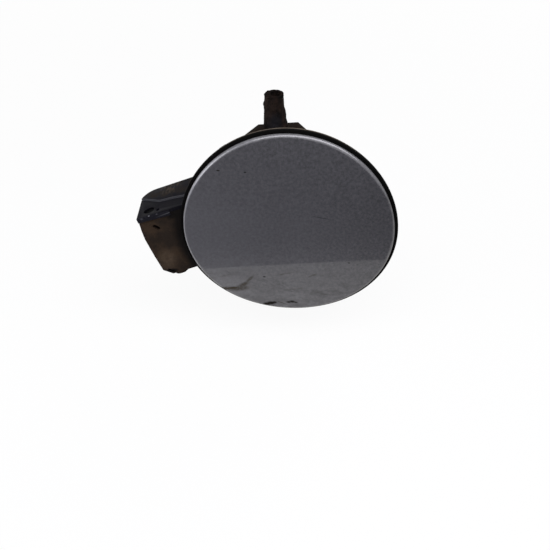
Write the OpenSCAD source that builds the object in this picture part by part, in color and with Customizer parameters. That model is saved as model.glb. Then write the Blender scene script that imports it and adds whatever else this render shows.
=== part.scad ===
// Car fuel door: a round crowned flap on a gooseneck arm, in a moulded bowl
// with a side pocket for the hinge, a drain spout and a boot for the filler neck.
// Origin at the centre of the flap's outer face, +Z along the drain spout,
// the flap's face looks along -Y and the filler neck leaves along +Y.

/* [Flap] */
// Radius of the round flap
flap_r = 82.5; // [79:0.5:86]
// Crown radius of the flap's outer face, about the row's X direction
crown_r = 565; // [450:5:900]
// Sheet thickness of the flap's skin and inner panel
sheet_t = 0.8; // [0.6:0.1:1]
// Width of the hem that folds over the inner panel's edge
hem_w = 7.5; // [5:0.5:10]
// Gap between the sheets inside the hem
hem_gap = 0.2; // [0.1:0.05:0.3]
// Depth of the inner panel's dish behind the hem
dish_d = 2; // [1:0.5:3]
// Width of the inner panel's flat edge outside its dish
dish_edge = 11.5; // [10.5:0.5:16]
// Radius of the lightening holes in the inner panel
light_hole_r = 9; // [5:1:11]

/* [Bowl] */
// Wall of the moulded bowl
wall = 2.3; // [1.8:0.1:3]
// Reach of the rim seal beyond the flap's edge
rim_reach = 2.6; // [2:0.2:4]
// Depth of the rim seal's front face behind the flap's outer face
rim_d = 3.4; // [3.3:0.1:4.5]
// Width of the rim flange
flange_w = 10; // [8:0.5:12]
// Depth of the inside of the bowl's floor
floor_y = 42; // [40:0.5:46]
// Inward draw of the bowl's wall from its mouth to its floor
floor_in = 13.6; // [11:0.2:16]
// Thickness of the rim seal's lips
seal_t = 0.5; // [0.4:0.05:0.7]

/* [Filler neck] */
// Sideways place of the neck's axis
neck_x = 6; // [0:1:10]
// Upright place of the neck's axis
neck_z = -6; // [-10:1:0]
// Radius of the filler neck's seat in the boot
neck_r = 24; // [20:0.5:27]
// Radius of the hole in the bowl's floor that the boot is buttoned into
boot_hole_r = 40; // [37:1:44]
// Rubber thickness of the boot
boot_t = 2.5; // [2:0.1:3]
// Length of the boot's sleeve
sleeve_l = 22; // [18:1:28]

/* [Hinge] */
// Lean of the hinge axis from upright
hinge_lean = 23; // [15:1:30]
// Distance of the hinge axis beyond the flap's edge
pivot_out = 20.5; // [19.5:0.5:22.5]
// Depth of the hinge axis
pivot_y = 19.5; // [19.5:0.5:22]
// Radius of the hinge pin
pin_r = 2.5; // [2:0.1:3]
// Wall of the arm's bushes
bush_t = 1.4; // [1:0.1:1.6]
// Wall of the arm's eyes
eye_t = 1.65; // [1.4:0.05:2]
// Thickness of the gooseneck arm
arm_t = 3.5; // [3:0.1:4]
// Bend radius of the gooseneck at the middle of its thickness
arm_bend_r = 16; // [15.5:0.5:17]
// Straight stretch of the arm from the hinge axis to the bend
arm_back = 9; // [9:0.5:11]
// Lower end of the arm along the hinge axis
arm_z0 = -8.5; // [-9:0.5:-6]
// Width of the arm along the hinge axis
arm_w = 30; // [28:0.5:30.5]
// Length of each bushed eye
eye_l = 9; // [7:0.5:11]
// Running clearance of the hinge, on the radius
run_gap = 0.05; // [0.03:0.01:0.1]

/* [Hinge pocket] */
// Depth of the pocket's front face
pocket_y = 10.8; // [10:0.2:11]
// Reach of the pocket beyond the hinge axis
pocket_reach = 11.8; // [10:0.5:14]
// Lower end of the pocket along the hinge axis
pocket_z0 = -13; // [-16:0.5:-12.5]
// Upper end of the pocket along the hinge axis
pocket_z1 = 45; // [38:0.5:47]
// Size of the bevel at the pocket's lower outer corner
pocket_bevel = 6; // [4:0.5:6.5]
// Radius of the pocket's outer corner at the back
pocket_corner_r = 13; // [11:1:20]
// Lean of the pocket's outer wall towards its upper front corner
pocket_lean = 4; // [0:0.5:5]
// Height of the cover's front apron over the pocket's front wall
apron_h = 4; // [3:0.5:6]
// Rise of the cover's raised back part
cover_rise = 1; // [1:0.5:3]

/* [Drain] */
// Sideways place of the drain
drain_x = -12.5; // [-16:0.5:-10]
// Depth of the drain's axis
drain_y = 36.5; // [35:0.5:37]
// Sideways place of the sump's middle
sump_x = -10.5; // [-14:0.5:-8]
// Half width of the sump at its top
sump_top_w = 16; // [13:0.5:20]
// Half width of the sump at its base
sump_base_w = 37; // [28:1:38]
// Height of the sump's top above the flap's centre
sump_z = 73; // [70:0.5:78]
// Fall of the sump's top from its right end to its left end
sump_fall = 4; // [0:0.5:5]
// Bore radius of the drain's socket
drain_bore_r = 3.6; // [3:0.2:4.5]
// Length of the rubber spout
spout_l = 27; // [18:1:40]
// Radius of the spout's tip
spout_tip_r = 7.6; // [7:0.1:8.4]
// Radius of the spout's base
spout_base_r = 9.6; // [8.6:0.1:10.4]

/* [Lock] */
// Fall of the lock's direction below the row's X axis
lock_fall = 15; // [10:1:20]
// Depth of the lock's axis
lock_y = 24; // [22:0.5:26]
// Radius of the locking bolt
bolt_r = 3.5; // [3:0.1:4]
// Travel of the locking bolt
bolt_travel = 5.5; // [4:0.5:6]
// Length of the locking bolt
bolt_l = 28; // [26:1:29]
// Distance of the catch's plate inside the bowl's mouth
catch_in = 20.6; // [19.6:0.5:23]
// Thickness of the catch's plate
catch_t = 2.5; // [2:0.1:3]
// Clearance of the bolt in the catch's square eye, on each side
catch_gap = 1.1; // [0.8:0.1:1.5]

/* [Hidden] */
$fn = 96;

// Small amount by which cutting shapes pass a face
over = 1;
// Seat gap between pieces that are fixed together
seat = 0.1;
// Faces round a screw, rivet or boss
fine = 48;

// Depths behind the outer face, measured square to the crown
skin_in = sheet_t;
panel_out = skin_in + hem_gap;
panel_in = panel_out + sheet_t;
hem_out = panel_in + hem_gap;
hem_in = hem_out + sheet_t;
dish_r = flap_r - dish_edge;
dish_out = panel_out + dish_d;
dish_in = panel_in + dish_d;
light_angles = [55, -45, -95];
function crown(z) = crown_r - sqrt(crown_r * crown_r - z * z);

// Rim seal, flange and bowl
seal_r = flap_r + rim_reach;
seal_grip = 1.4;
seal_in_r = seal_r - 4.3;
flange_r = seal_r - seal_grip - seat;
flange_t = 1.9;
flange_d = rim_d + seal_t + seat;
flange_back = flange_d + flange_t;
seal_back = flange_back + seat + seal_t;
mouth_r = flange_r - flange_w;
floor_r = mouth_r - floor_in;
bowl_back = floor_y + wall;
cone = (mouth_r - floor_r) / (floor_y - flange_d);

// Hinge frame: x away from the flap's centre is negative, z along the hinge axis
pivot_x = -(flap_r + pivot_out);
arm_z1 = arm_z0 + arm_w;
bush_r = pin_r + run_gap + bush_t;
eye_r = bush_r + run_gap + eye_t;
bend_x = pivot_x + arm_bend_r;
bend_y = pivot_y + arm_back;
leg_x = bend_x + arm_bend_r;
foot_y = dish_in + 2.1;
foot_t = 3;
foot_l = 34;
foot_screws = [[leg_x + 10, arm_z0 + 8], [leg_x + 10, arm_z1 - 8], [leg_x + 26, (arm_z0 + arm_z1) / 2]];
screw_r = 2.5;
screw_gap = 0.1;
pad_r = 6;

// Pocket round the gooseneck
pocket_x0 = pivot_x - pocket_reach;
pocket_x1 = leg_x + 14;
pocket_back = bend_y + arm_bend_r + arm_t / 2 + 1.3 + wall;
cover_t = wall;
cover_z = pocket_z1 - cover_t;
notch_gap = 2.5;
lip_x = -(flap_r + 1.5);
apron_t = 1.4;
boss_r = 5;
head_r = pin_r + 1.4;
head_t = 1.8;
head_room = 2.8;
pin_z1 = pocket_z1 - head_room;
pin_z0 = pocket_z0 - 3;
ridge = [[pocket_x0 - over, pivot_y + 22.5], [pivot_x + 7.5, pivot_y + 9.5], [pivot_x + 19.5, pivot_y + 7.8],
         [pocket_x1 + over, pivot_y + 1.5]];
ridge_w = 1.3;
clip_t = 0.8;
post_r = 3.2;
post_h = 13;
post_screw_r = 1.5;
// Post under the raised part of the lid
post_x = leg_x + 7;
post_y = pocket_back - wall - post_r + 0.6;
post_top = pocket_z1 + cover_rise;
vent = [pivot_x + 2.1, pocket_z1 - 11.6];
vent_r = 1.5;
vent_half = 1.6;
vent_turn = -55;
notch_l = 8;
notch_w = 2.2;

// Springs
hinge_wire_r = 0.75;
hinge_coil_r = pin_r + hinge_wire_r + 0.9;
hinge_turns = 5;
hinge_coil_z0 = arm_z0 + eye_l + 1.6;
hinge_coil_h = arm_w - 2 * eye_l - 3.2;
lock_wire_r = 0.4;
lock_turns = 4;

// Lock frame: x out from the flap's centre along the bolt
catch_x = mouth_r - catch_in;
catch_rim = 2.4;
bolt_x = catch_x + catch_t + 2.5;
guide_x0 = bolt_x + 3;
guide_flange_t = 1.6;
guide_r = bolt_r + run_gap + 2.2;
guide_x1 = seal_r - 2.6;
shoulder_x = bolt_x + 14.5;
web_x = shoulder_x + 0.4;
web_t = 1.5;
tail_r = bolt_r - 1.4;
tail_x = bolt_x + bolt_l;
collar_t = 1.5;
lock_coil_r = tail_r + 0.2 + lock_wire_r;
lock_boss_r = guide_r + 2.5;

// Stops and panel clips
buffer_stem_r = 2;
buffer_head_r = 4;
buffer_x = mouth_r + 4;
clip_angles = [30, 128, 238, 312];

// Drain
socket_r = spout_tip_r - 1.6;
socket_h = 9;
spout_bore_r = drain_bore_r + 0.4;
sump_y0 = 29;

// Places in this file's frames

module about_y() { rotate([-90, 0, 0]) children(); }

module hinge_frame() { rotate([0, -hinge_lean, 0]) children(); }

module lock_frame() { rotate([0, lock_fall, 0]) children(); }

// Round bar along Y between two depths
module y_bar(r, y0, y1, x = 0, z = 0) {
    translate([x, y0, z]) about_y() cylinder(r = r, h = y1 - y0);
}

// Round bar along X between two places
module x_bar(r, x0, x1, y = 0, z = 0) {
    translate([x0, y, z]) rotate([0, 90, 0]) cylinder(r = r, h = x1 - x0);
}

// Round bar along Z between two heights
module z_bar(r, z0, z1, x = 0, y = 0) {
    translate([x, y, z0]) cylinder(r = r, h = z1 - z0);
}

// A block between two corners
module block(a, b) { translate(a) cube(b - a); }

// A front outline, drawn in X and Z, between two depths
module front_prism(y0, y1) {
    translate([0, y1, 0]) rotate([90, 0, 0]) linear_extrude(height = y1 - y0) children();
}

// A turned ring about the Y axis, from an outline of [radius, depth] points
module turned(outline) { about_y() rotate_extrude() polygon(outline); }

// The layer of crowned sheet between two depths, cut to a ring
module crowned_ring(d0, d1, r0, r1) {
    intersection() {
        translate([0, crown_r, 0]) rotate([0, 90, 0])
            difference() {
                cylinder(r = crown_r - d0, h = 3 * flap_r, center = true, $fn = 720);
                cylinder(r = crown_r - d1, h = 4 * flap_r, center = true, $fn = 720);
            }
        difference() {
            y_bar(r1, -over, crown(r1) + d1 + over);
            if (r0 > 0) y_bar(r0, -2 * over, crown(r1) + d1 + 2 * over);
        }
    }
}

// Round wire along a path whose tangents stay near the plane square to up
function unit(v) = v / norm(v);
function path_tangent(path, i) =
    unit(path[min(i + 1, len(path) - 1)] - path[max(i - 1, 0)]);
function wire_points(path, r, up, sides) = [
    for (i = [0 : len(path) - 1])
        let (t = path_tangent(path, i), n = unit(cross(up, t)), b = cross(t, n))
            for (s = [0 : sides - 1])
                path[i] + r * (cos(360 * s / sides) * n + sin(360 * s / sides) * b)];
module wire(path, r, up, sides = 6) {
    rings = len(path);
    polyhedron(points = wire_points(path, r, up, sides), faces = concat(
        [[for (s = [0 : sides - 1]) s]],
        [for (i = [0 : rings - 2]) for (s = [0 : sides - 1])
            let (a = i * sides + s, b = i * sides + (s + 1) % sides)
                [b, a, a + sides, b + sides]],
        [[for (s = [sides - 1 : -1 : 0]) (rings - 1) * sides + s]]));
}

// The hinge pocket's outer form, or its cavity with inset = wall
module pocket_plan(inset) {
    x0 = pocket_x0 + inset;
    y1 = pocket_back - inset;
    translate([x0 + pocket_corner_r - inset, pocket_y + inset])
        square([pocket_x1 - pocket_x0 - pocket_corner_r - inset, y1 - pocket_y - inset]);
    translate([x0, pocket_y + inset])
        square([pocket_corner_r, pocket_back - pocket_corner_r - pocket_y - inset]);
    translate([pocket_x0 + pocket_corner_r, pocket_back - pocket_corner_r])
        circle(r = pocket_corner_r - inset);
}

module pocket_front(inset, top) {
    polygon([
        [pocket_x0 - over, pocket_z0 + pocket_bevel + inset / 2],
        [pocket_x0, pocket_z0 + pocket_bevel + inset / 2],
        [pocket_x0 + pocket_bevel + inset / 2, pocket_z0 + inset],
        [pocket_x1 + over, pocket_z0 + inset],
        [pocket_x1 + over, top],
        [pocket_x0 - over, top]]);
}

module leaning_side(inset) {
    translate([pocket_x0 + inset, pocket_y, pocket_z0 + pocket_bevel])
        rotate([0, pocket_lean, 1.6 * pocket_lean])
            block([0, -flap_r, -flap_r], [2 * flap_r, 2 * flap_r, 2 * flap_r]);
}

module pocket_form(inset, top) {
    intersection() {
        leaning_side(inset);
        translate([0, 0, pocket_z0 - over])
            linear_extrude(height = top - pocket_z0 + 2 * over) pocket_plan(inset);
        front_prism(pocket_y - over, pocket_back + over) pocket_front(inset, top);
    }
}

// Sump outline at the drain, or its cavity with inset = wall
module sump_outline(inset) {
    base_z = floor_r - 10;
    polygon([
        [sump_x - sump_base_w + inset, base_z],
        [sump_x - sump_top_w + inset / 2, sump_z - sump_fall - inset],
        [sump_x + sump_top_w - inset / 2, sump_z - inset],
        [sump_x + sump_base_w - inset, base_z]]);
}

// All that lies behind the crowned surface at depth d
module behind(d) {
    intersection() {
        translate([0, crown_r, 0]) rotate([0, 90, 0])
            cylinder(r = crown_r - d, h = 4 * flap_r, center = true, $fn = 720);
        block([-2 * flap_r, -over, -2 * flap_r], [2 * flap_r, 2 * flap_r, 2 * flap_r]);
    }
}

// Room round the rim seal, with the flap in front of it
module seal_room() {
    crowned_ring(-over, seal_back + seat, 0, seal_r + seat);
}

// Moulded bowl: rim flange, tapered wall, floor, hinge pocket, sump and bosses
module bowl() {
    color([0.28, 0.23, 0.19]) difference() {
        union() {
            crowned_ring(flange_d, flange_back, mouth_r, flange_r);
            intersection() {
                turned([[0, 1], [mouth_r + wall + 2, 1], [mouth_r + wall, flange_back], [floor_r + wall, bowl_back],
                        [0, bowl_back]]);
                behind(flange_d);
            }
            difference() {
                hinge_frame() pocket_form(0, cover_z);
                seal_room();
            }
            hinge_frame() z_bar(eye_r + 1.4, pin_z0, pocket_z0 + wall, pivot_x, pivot_y);
            front_prism(sump_y0, bowl_back) sump_outline(0);
            z_bar(socket_r, sump_z - 3 * wall, sump_z + socket_h, drain_x, drain_y);
            lock_frame() x_bar(lock_boss_r, mouth_r - 12, guide_x1 - 3, lock_y);
            y_bar(boot_hole_r + 3, floor_y, bowl_back + 1.5, neck_x, neck_z);
        }
        turned([[0, -over], [mouth_r + cone * (flange_d + over), -over], [floor_r, floor_y], [0, floor_y]]);
        hinge_frame() {
            difference() {
                pocket_form(wall, cover_z + over);
                z_bar(post_r, cover_z - post_h, cover_z, post_x, post_y);
            }
            z_bar(post_screw_r + seat, cover_z - 9, cover_z + over, post_x, post_y, $fn = fine);
            intersection() {
                block([-seal_r, 0, arm_z0 - notch_gap], [leg_x + 20, pocket_y + 2 * wall, arm_z1 + notch_gap]);
                rotate([0, hinge_lean, 0]) y_bar(seal_in_r, -over, bowl_back);
            }
            block([lip_x, pocket_y - 2, arm_z0 - notch_gap], [leg_x, pocket_y + 2 * wall, arm_z1 + notch_gap]);
            z_bar(pin_r + run_gap, pin_z0 - over, 0, pivot_x, pivot_y);
            front_prism(pocket_y - over, pocket_y + wall + over) {
                translate(vent) rotate(vent_turn) {
                    square([2 * vent_half, 2 * vent_r], center = true);
                    for (s = [-1, 1]) translate([s * vent_half, 0]) circle(r = vent_r, $fn = fine);
                }
                translate([pocket_x0 + 9, pocket_z0 - 1]) rotate(45) square([notch_w, notch_l]);
            }
        }
        front_prism(sump_y0 + wall, floor_y) sump_outline(wall);
        z_bar(drain_bore_r, sump_z - 4 * wall, sump_z + socket_h + over, drain_x, drain_y);
        y_bar(boot_hole_r, floor_y - over, bowl_back + 3, neck_x, neck_z);
        lock_frame() x_bar(guide_r + seat, mouth_r - 16, guide_x1, lock_y);
        for (s = [-1, 1]) buffer_frame(s) y_bar(buffer_stem_r, flange_d - over, flange_back + 9);
    }
}

// Lid of the hinge pocket with its apron, raised back and the pin's long boss
module pocket_cover() {
    color([0.16, 0.18, 0.23]) hinge_frame() difference() {
        intersection() {
            leaning_side(0);
            union() {
                translate([0, 0, cover_z + seat])
                    linear_extrude(height = cover_t - seat) pocket_plan(0);
                difference() {
                    raised_back(0, pocket_z1 - over, cover_rise + over);
                    raised_back(ridge_w, pocket_z1 - 2 * over, cover_rise + over);
                }
                block([pocket_x0, pocket_y - apron_t - seat, pocket_z1 - apron_h],
                      [lip_x, pocket_y - seat, pocket_z1]);
                block([pocket_x0, pocket_y - apron_t - seat, cover_z + seat], [lip_x, pocket_y + over, pocket_z1]);
                z_bar(boss_r, arm_z1 + 1.3, pocket_z1 - over, pivot_x, pivot_y);
            }
        }
        bowl_room();
        z_bar(pin_r + run_gap, arm_z1, pocket_z1, pivot_x, pivot_y);
        z_bar(head_r + 0.4, pin_z1, pocket_z1 + over, pivot_x, pivot_y);
        z_bar(1.5, cover_z - over, pocket_z1 + over, pivot_x + 8, pivot_y - 2.5, $fn = fine);
        z_bar(post_screw_r + seat, cover_z - over, post_top + over, post_x, post_y, $fn = fine);
    }
}

// The lid's part behind its ridge, drawn in by inset
module raised_back(inset, z, h) {
    translate([0, 0, z]) linear_extrude(height = h) intersection() {
        pocket_plan(inset);
        polygon(concat([for (p = ridge) p + [0, inset]],
                       [[pocket_x1 + over, pocket_back + over], [pocket_x0 - over, pocket_back + over]]));
    }
}

// Space of the bowl's wall and its rim seal, which the pocket's lid is cut back from
module bowl_room() {
    rotate([0, hinge_lean, 0]) {
        seal_room();
        turned([[0, 1], [mouth_r + wall + 2.4, 1], [mouth_r + wall + 0.4, flange_back],
                [floor_r + wall + 0.4, bowl_back + 0.3], [0, bowl_back + 0.3]]);
    }
}

// Screw that holds the lid on the pocket's post
module cover_screw() {
    color("dimgray") hinge_frame() translate([post_x, post_y, 0]) difference() {
        union() {
            z_bar(post_screw_r, cover_z - 8, post_top + 1, $fn = fine);
            z_bar(2 * post_screw_r, post_top + 0.05, post_top + 2, $fn = fine);
        }
        translate([0, 0, post_top + 0.9]) cylinder(r = post_screw_r, h = 3, $fn = 6);
    }
}

// Rubber channel that closes the flange's edge against the body panel
module rim_seal() {
    color([0.05, 0.05, 0.05]) union() {
        crowned_ring(rim_d, rim_d + seal_t, seal_in_r, seal_r);
        crowned_ring(rim_d + seal_t - 0.01, seal_back - seal_t + 0.01, seal_r - seal_grip, seal_r);
        crowned_ring(seal_back - seal_t, seal_back, seal_in_r + 1, seal_r);
    }
}

// Rubber boot, buttoned into the floor and drawn over the filler neck
module neck_boot() {
    lip = 2.2;
    fold_y = floor_y - 5;
    sleeve_y = floor_y - 7;
    color([0.07, 0.07, 0.07]) translate([neck_x, 0, neck_z]) turned([
        [neck_r, sleeve_y], [neck_r + boot_t, sleeve_y], [neck_r + boot_t + 1, fold_y + 4],
        [boot_hole_r - 5, fold_y + 4], [boot_hole_r - 4, fold_y], [boot_hole_r + 2, fold_y],
        [boot_hole_r + 3, floor_y - seat], [boot_hole_r - seat, floor_y - seat],
        [boot_hole_r - seat, bowl_back + 1.6], [boot_hole_r + 2, bowl_back + 1.6],
        [boot_hole_r + 1, bowl_back + 1.6 + lip], [boot_hole_r - 3, bowl_back + 1.6 + lip],
        [boot_hole_r - 3, fold_y + 4 + boot_t], [neck_r + boot_t, fold_y + 4 + boot_t],
        [neck_r + boot_t, sleeve_y + sleeve_l], [neck_r, sleeve_y + sleeve_l]]);
}

// Steel band round the boot's sleeve, with its closing ear
module boot_band() {
    band_y = floor_y - 7 + sleeve_l - 8;
    r = neck_r + boot_t + seat;
    color("silver") translate([neck_x, 0, neck_z]) {
        difference() {
            union() {
                y_bar(r + 0.8, band_y, band_y + 6);
                block([-3, band_y, r - 0.2], [3, band_y + 6, r + 4]);
            }
            y_bar(r, band_y - over, band_y + 6 + over);
            block([-2.1, band_y - over, r - 0.1], [2.1, band_y + 6 + over, r + 3.1]);
        }
    }
}

// Rubber drain spout, pushed over the sump's socket
module drain_spout() {
    color([0.11, 0.09, 0.08]) translate([drain_x, drain_y, sump_z + seat]) rotate_extrude() polygon([
        [socket_r + seat, 0], [spout_base_r, 0], [spout_base_r - 0.4, spout_l * 0.3],
        [spout_tip_r + 0.3, spout_l * 0.55], [spout_tip_r, spout_l - 0.6], [spout_tip_r - 0.6, spout_l],
        [spout_bore_r, spout_l], [spout_bore_r, socket_h + 0.4], [socket_r + seat, socket_h + 0.4]]);
}

// Headed hinge pin with a groove for its clip
module hinge_pin() {
    color("silver") hinge_frame() translate([pivot_x, pivot_y, 0]) difference() {
        union() {
            z_bar(pin_r, pin_z0 - 3, pin_z1 + over);
            z_bar(head_r, pin_z1 + 0.05, pin_z1 + head_t);
        }
        difference() {
            z_bar(pin_r + over, pin_z0 - 0.3 - clip_t, pin_z0 - 0.1);
            z_bar(pin_r - 0.6, pin_z0 - 3, pin_z0 + over);
        }
    }
}

// Spring steel clip in the pin's groove
module pin_clip() {
    color("gray") hinge_frame() translate([pivot_x, pivot_y, pin_z0 - 0.25 - clip_t + 0.1]) difference() {
        cylinder(r = pin_r + 2.4, h = clip_t - 0.1);
        translate([0, 0, -over]) cylinder(r = pin_r - 0.5, h = 3);
        block([-pin_r + 0.5, -pin_r - 4, -over], [pin_r - 0.5, 0, 3]);
    }
}

// Torsion spring round the pin that lifts the flap when it is released
module hinge_spring() {
    steps = 14;
    coil_x = pivot_x;
    turns = [for (i = [0 : steps * hinge_turns])
        [coil_x - hinge_coil_r * cos(360 * i / steps), pivot_y - hinge_coil_r * sin(360 * i / steps),
         hinge_coil_z0 + hinge_wire_r + (hinge_coil_h - 2 * hinge_wire_r) * i / (steps * hinge_turns)]];
    last = turns[len(turns) - 1];
    wall_leg = [turns[0][0], bend_y - 1.5, turns[0][2]];
    arm_leg = [last[0], pocket_y + wall + hinge_wire_r + 0.3, last[2]];
    color("gray") hinge_frame()
        wire(concat([wall_leg], turns, [arm_leg]), hinge_wire_r, [0, 0, 1]);
}

// Plastic guide of the locking bolt, snapped into its boss
module lock_guide() {
    color([0.75, 0.74, 0.7]) lock_frame() difference() {
        union() {
            x_bar(guide_r, guide_x0, guide_x1, lock_y);
            x_bar(guide_r + 2.6, guide_x0, guide_x0 + guide_flange_t, lock_y);
        }
        x_bar(bolt_r + run_gap, guide_x0 - over, web_x, lock_y);
        x_bar(tail_r + run_gap, web_x - over, web_x + web_t + over, lock_y);
        x_bar(bolt_r + 0.3, web_x + web_t, guide_x1 + over, lock_y);
    }
}

// Coil spring round the bolt's tail that draws the bolt back
module lock_spring() {
    steps = 12;
    x0 = web_x + web_t + lock_wire_r + 0.1;
    x1 = tail_x - collar_t - lock_wire_r - 0.1;
    count = steps * lock_turns;
    color("gray") lock_frame() wire([for (i = [0 : count])
        [x0 + (x1 - x0) * i / count, lock_y + lock_coil_r * cos(360 * i / steps),
         lock_coil_r * sin(360 * i / steps)]], lock_wire_r, [1, 0, 0]);
}

// Rubber stops on the flange that the closed flap rests on
function buffer_angle(side) = side > 0 ? 58 : -62;
module buffer_frame(side) { rotate([0, -buffer_angle(side), 0]) translate([buffer_x, 0, 0]) children(); }
module buffer(side) {
    rest_z = abs(buffer_x * sin(buffer_angle(side)));
    outer = crown(rest_z + buffer_head_r);
    inner = crown(rest_z - buffer_head_r);
    buffer_frame(side) {
        y_bar(buffer_head_r, outer + hem_in + 0.3, inner + flange_d - 0.05, $fn = fine);
        y_bar(buffer_stem_r - seat, inner + flange_d - 0.2, outer + flange_back + 0.3, $fn = fine);
        y_bar(buffer_stem_r + 0.7, outer + flange_back + 0.1, outer + flange_back + 2, $fn = fine);
    }
}
module upper_buffer() { color([0.08, 0.08, 0.08]) buffer(1); }
module lower_buffer() { color([0.08, 0.08, 0.08]) buffer(-1); }

// Folded spring clips behind the flange that hold the unit in the panel
module body_clips() {
    color("darkgray") for (a = clip_angles) rotate([0, -a, 0])
        translate([mouth_r + 3.4, crown(flange_r * sin(a)) + flange_back + 0.3, 0])
            side_prism(6) polygon([
                [0, 0], [4.4, 0], [4.4, 1], [6.4, 5], [3, 9], [2.4, 8.3], [5.2, 5], [3.4, 0.8], [0, 0.8]]);
}

// A side outline of [radius, depth] points, as wide as w and centred on z = 0
module side_prism(w) { translate([0, 0, -w / 2]) linear_extrude(height = w) children(); }

// Painted skin of the flap with its hemmed edge
module outer_skin() {
    color([0.45, 0.45, 0.48]) union() {
        crowned_ring(0, skin_in, 0, flap_r);
        crowned_ring(skin_in - 0.01, hem_out + 0.01, flap_r - sheet_t, flap_r);
        crowned_ring(hem_out, hem_in, flap_r - hem_w, flap_r);
    }
}

// Pressed inner panel: flange inside the hem, dish, pads and lightening holes
module inner_panel() {
    edge_r = flap_r - sheet_t - 0.3;
    color([0.4, 0.4, 0.43]) difference() {
        union() {
            crowned_ring(panel_out, panel_in, dish_r - sheet_t, edge_r);
            crowned_ring(panel_out, dish_in, dish_r - sheet_t, dish_r);
            crowned_ring(dish_out, dish_in, 0, dish_r);
            hinge_frame() for (p = foot_screws)
                y_bar(pad_r, dish_in - sheet_t / 4, foot_y - 0.05, p[0], p[1], $fn = fine);
        }
        hinge_frame() for (p = foot_screws) y_bar(screw_r + screw_gap, 0.9, foot_y + over, p[0], p[1], $fn = fine);
        for (a = light_angles) rotate([0, -a, 0]) y_bar(light_hole_r, panel_in, 2 * dish_in + crown(dish_r), 0.72 * dish_r);
    }
}

// Gooseneck hinge arm with two bushed eyes and its screw foot
module hinge_arm() {
    half = arm_t / 2;
    window_y = pivot_y + hinge_coil_r + hinge_wire_r + 1.2;
    color([0.3, 0.3, 0.32]) hinge_frame() difference() {
        union() {
            z_bar(eye_r, arm_z0, arm_z1, pivot_x, pivot_y);
            block([pivot_x - half, pivot_y, arm_z0], [pivot_x + half, bend_y, arm_z1]);
            intersection() {
                difference() {
                    z_bar(arm_bend_r + half, arm_z0, arm_z1, bend_x, bend_y);
                    z_bar(arm_bend_r - half, arm_z0 - over, arm_z1 + over, bend_x, bend_y);
                }
                block([bend_x - 2 * arm_bend_r, bend_y, arm_z0 - over],
                      [bend_x + 2 * arm_bend_r, bend_y + 2 * arm_bend_r, arm_z1 + over]);
            }
            block([leg_x - half, foot_y, arm_z0], [leg_x + half, bend_y, arm_z1]);
            block([leg_x - half, foot_y, arm_z0], [leg_x + foot_l, foot_y + foot_t, arm_z1]);
            for (z = [arm_z0, arm_z1 - 2.5])
                front_rib(z, 2.5) polygon([[leg_x, foot_y + foot_t - 1], [leg_x + 14, foot_y + foot_t - 1],
                                         [leg_x, foot_y + 16]]);
        }
        block([pivot_x - eye_r - over, pivot_y - eye_r - over, arm_z0 + eye_l],
              [pivot_x + eye_r + over, window_y, arm_z1 - eye_l]);
        z_bar(bush_r + run_gap, arm_z0 - over, arm_z1 + over, pivot_x, pivot_y);
        for (p = foot_screws) y_bar(screw_r + screw_gap, foot_y - over, foot_y + foot_t + over, p[0], p[1], $fn = fine);
        block([leg_x + 16, foot_y - over, arm_z0 - over], [leg_x + foot_l + over, foot_y + foot_t + over, arm_z0 + 7]);
        block([leg_x + 16, foot_y - over, arm_z1 - 7], [leg_x + foot_l + over, foot_y + foot_t + over, arm_z1 + over]);
    }
}

// A rib drawn in the hinge frame's x and y, at height z and w thick
module front_rib(z, w) { translate([0, 0, z]) linear_extrude(height = w) children(); }

// Screws that hold the arm's foot to the inner panel
module arm_screws() {
    color("silver") hinge_frame() for (p = foot_screws) difference() {
        union() {
            y_bar(screw_r, dish_in, foot_y + foot_t + over, p[0], p[1], $fn = fine);
            y_bar(screw_r + 2, foot_y + foot_t + 0.05, foot_y + foot_t + 3, p[0], p[1], $fn = fine);
        }
        translate([p[0], foot_y + foot_t + 1.2, p[1]]) about_y() cylinder(r = 2, h = 4, $fn = 6);
    }
}

// Flanged plastic bush in each eye of the arm
module bush(z0, flange_z) {
    flange = 0.9;
    color([0.85, 0.84, 0.8]) hinge_frame() translate([pivot_x, pivot_y, 0]) difference() {
        union() {
            z_bar(bush_r, min(z0, flange_z), max(z0 + eye_l, flange_z + flange));
            z_bar(eye_r - 0.4, flange_z, flange_z + flange);
        }
        z_bar(pin_r + run_gap, z0 - 2, z0 + eye_l + 2);
    }
}
module upper_bush() { bush(arm_z1 - eye_l, arm_z1 + 0.02); }
module lower_bush() { bush(arm_z0, arm_z0 - 0.92); }

// Plastic holder for the filler cap on the back of the flap
module cap_holder() {
    cx = -8;
    cz = 0.48 * dish_r;
    base_y = crown(cz + 10) + dish_in + 0.15;
    color([0.1, 0.1, 0.1]) translate([cx, 0, cz]) difference() {
        union() {
            block([-13, base_y, -8], [13, base_y + 2, 8]);
            for (s = [-1, 1]) {
                block([s * 8.5 - 1, base_y + 1, -6], [s * 8.5 + 1, base_y + 9, 6]);
                side_prism(12) polygon([
                    [s * 9.5, base_y + 8.9], [s * 6, base_y + 9.8], [s * 6.6, base_y + 12],
                    [s * 9.5, base_y + 12]]);
            }
        }
        for (s = [-1, 1]) y_bar(1.5, base_y - over, base_y + 3, s * 5, 0, $fn = fine);
    }
}

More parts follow.
